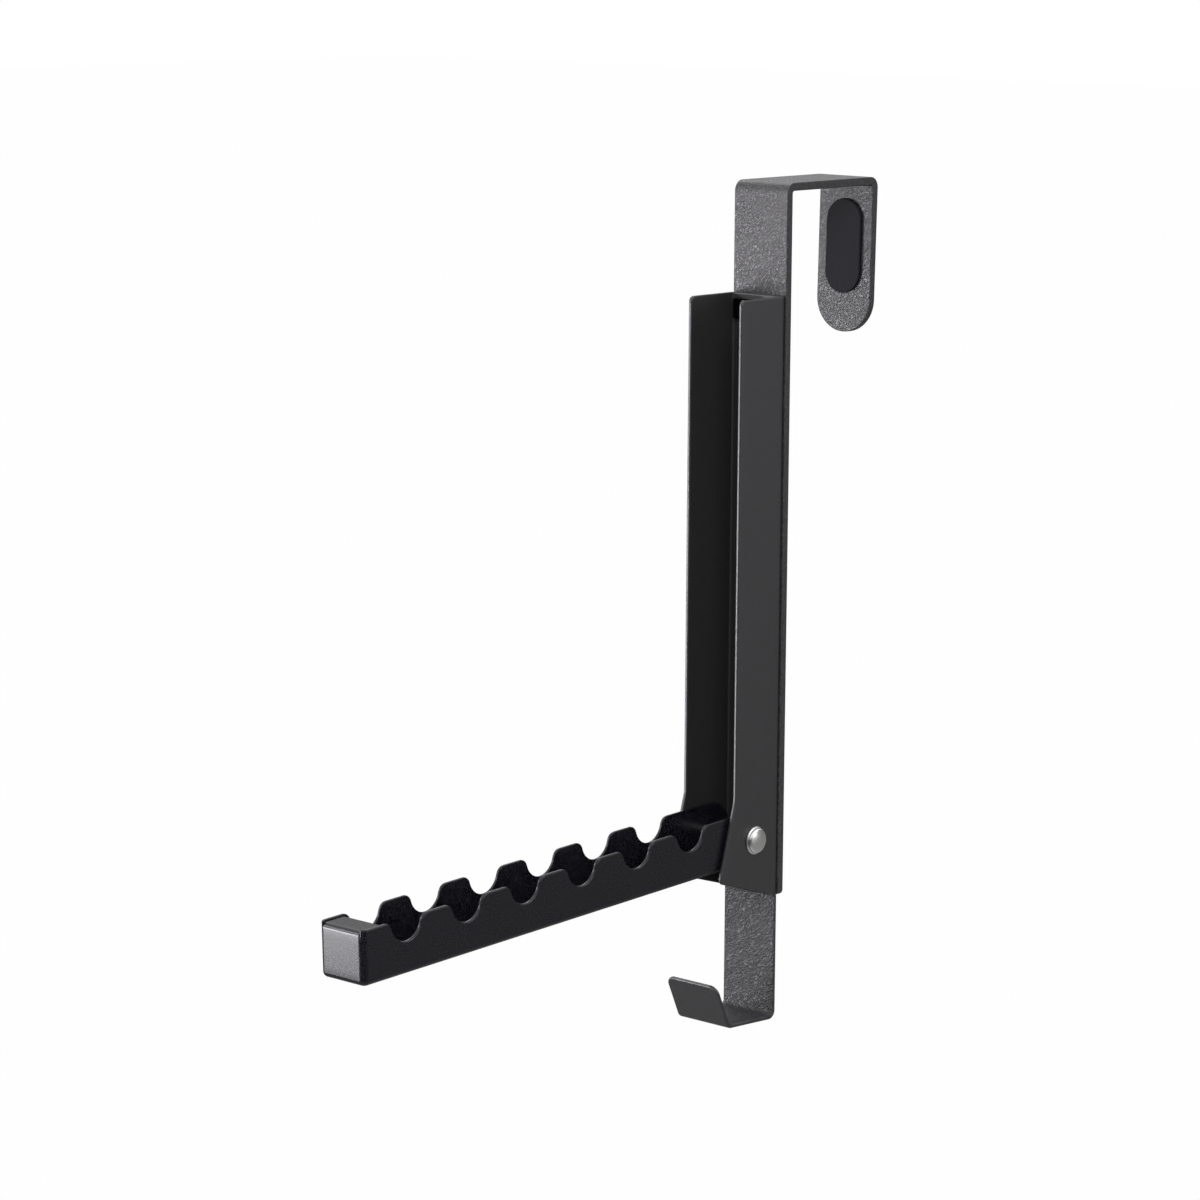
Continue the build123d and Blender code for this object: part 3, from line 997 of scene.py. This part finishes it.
def aim(spot, ahead, up):
    """Matrix of a camera or lamp at a spot, looking ahead with its top towards up."""
    back = -Vector(ahead).normalized()
    right = Vector(up).cross(back).normalized()
    axes = Matrix((right, back.cross(right), back)).transposed().to_4x4()
    return Matrix.Translation(spot) @ axes


def soft_lamp(name, spot, towards, size, power):
    """Soft lamp of a width and height that shines towards a point."""
    lamp = bpy.data.lights.new(name, "AREA")
    lamp.shape = "RECTANGLE"
    lamp.size, lamp.size_y = size
    lamp.energy = power
    thing = bpy.data.objects.new(name, lamp)
    bpy.context.scene.collection.objects.link(thing)
    thing.matrix_world = aim(spot, Vector(towards) - Vector(spot), (0.0, 0.0, 1.0))
    return thing


class HOOK_OT_stage(bpy.types.Operator):
    """Set the floor, the light and the camera"""

    bl_idname = "door_hook.stage"
    bl_label = "Stage"

    def execute(self, context):
        scene = context.scene
        stage = scene.hook_stage
        scene.view_settings.view_transform = "Standard"

        lowest = cad_box[0].z - stage.floor_drop
        corners = np.array([[-1, -1], [1, -1], [1, 1], [-1, 1]]) * FLOOR_REACH
        mesh = bpy.data.meshes.new("floor")
        mesh.from_pydata(np.column_stack([corners, np.full(4, lowest)]), [], [(0, 1, 2, 3)])
        floor = bpy.data.objects.new("floor", mesh)
        scene.collection.objects.link(floor)
        finish = Finish(bpy.data.materials.new("pale_floor"))
        paint = finish.node("ShaderNodeBsdfDiffuse", {}, {"Color": [0.80, 0.80, 0.80, 1.0]})
        glow = finish.node("ShaderNodeEmission", {}, {"Color": [1.0, 1.0, 1.0, 1.0]})
        mirrored = 0.12 * finish.band(finish.axis("Y"), -3.0, 3.0)
        share = finish.ray("Camera") * 0.99 + finish.ray("Glossy") * mirrored
        mesh.materials.append(finish.close(finish.node("ShaderNodeMixShader", {}, {0: share, 1: paint, 2: glow})))

        scene.world = bpy.data.worlds.new("studio")
        room = Finish(scene.world, "ShaderNodeOutputWorld")
        seen, mirrored, passing = room.ray("Camera"), room.ray("Glossy"), room.ray("Transmission")
        towards = room.node("ShaderNodeTexCoord", {}, {}, "Generated")
        upward = room.node("ShaderNodeSeparateXYZ", {}, {"Vector": towards}, "Z")
        backdrop = room.band(upward, 0.15, 0.55) * 0.9 + 0.1
        level = seen + (mirrored + passing) * backdrop
        dim = (1 - seen) * (1 - mirrored) * (1 - passing)
        strength = level + dim * stage.sky_level
        sockets = {"Color": [1.0, 1.0, 1.0, 1.0], "Strength": strength}
        room.close(room.node("ShaderNodeBackground", {}, sockets))

        middle = (cad_box[0] + cad_box[1]) / 2
        for name, (way, size, power) in LAMPS.items():
            soft_lamp(name, middle + Vector(way), middle, size, getattr(stage, power))
        bpy.data.objects["front_light"].visible_glossy = False

        view = bpy.data.cameras.new("photo_camera")
        view.sensor_width = 36.0
        view.lens = CAMERA_LENS
        view.clip_end = 100.0
        camera = bpy.data.objects.new("photo_camera", view)
        scene.collection.objects.link(camera)
        camera.matrix_world = aim(CAMERA_SPOT, CAMERA_AHEAD, CAMERA_UP)
        scene.camera = camera
        return {"FINISHED"}


# Panel and running

PIECES = (HOOK_OT_door_strap, HOOK_OT_pads, HOOK_OT_magnet, HOOK_OT_channel, HOOK_OT_arm, HOOK_OT_rivet,
          HOOK_OT_stage)
SETTINGS = {"hook_sheet": HookSheetSettings, "hook_coat": HookCoatSettings, "hook_stage": HookStageSettings}


class HOOK_PT_panel(bpy.types.Panel):
    """Buttons that build the door hook piece by piece"""

    bl_idname = "HOOK_PT_panel"
    bl_label = "Over door hook"
    bl_space_type = "VIEW_3D"
    bl_region_type = "UI"
    bl_category = "Door Hook"

    def draw(self, context):
        for piece in PIECES:
            self.layout.operator(piece.bl_idname)


def register():
    """Register every class and hang the settings on the scene."""
    for kind in (*SETTINGS.values(), *PIECES, HOOK_PT_panel):
        bpy.utils.register_class(kind)
    for name, kind in SETTINGS.items():
        setattr(bpy.types.Scene, name, PointerProperty(type=kind))


def unregister():
    """Undo register."""
    for name in SETTINGS:
        delattr(bpy.types.Scene, name)
    for kind in (HOOK_PT_panel, *reversed(PIECES), *reversed(SETTINGS.values())):
        bpy.utils.unregister_class(kind)


def main():
    """Build everything in order."""
    register()
    bpy.ops.door_hook.door_strap()
    bpy.ops.door_hook.pads()
    bpy.ops.door_hook.magnet()
    bpy.ops.door_hook.channel()
    bpy.ops.door_hook.arm()
    bpy.ops.door_hook.rivet()
    bpy.ops.door_hook.stage()


if __name__ == "__main__":
    main()
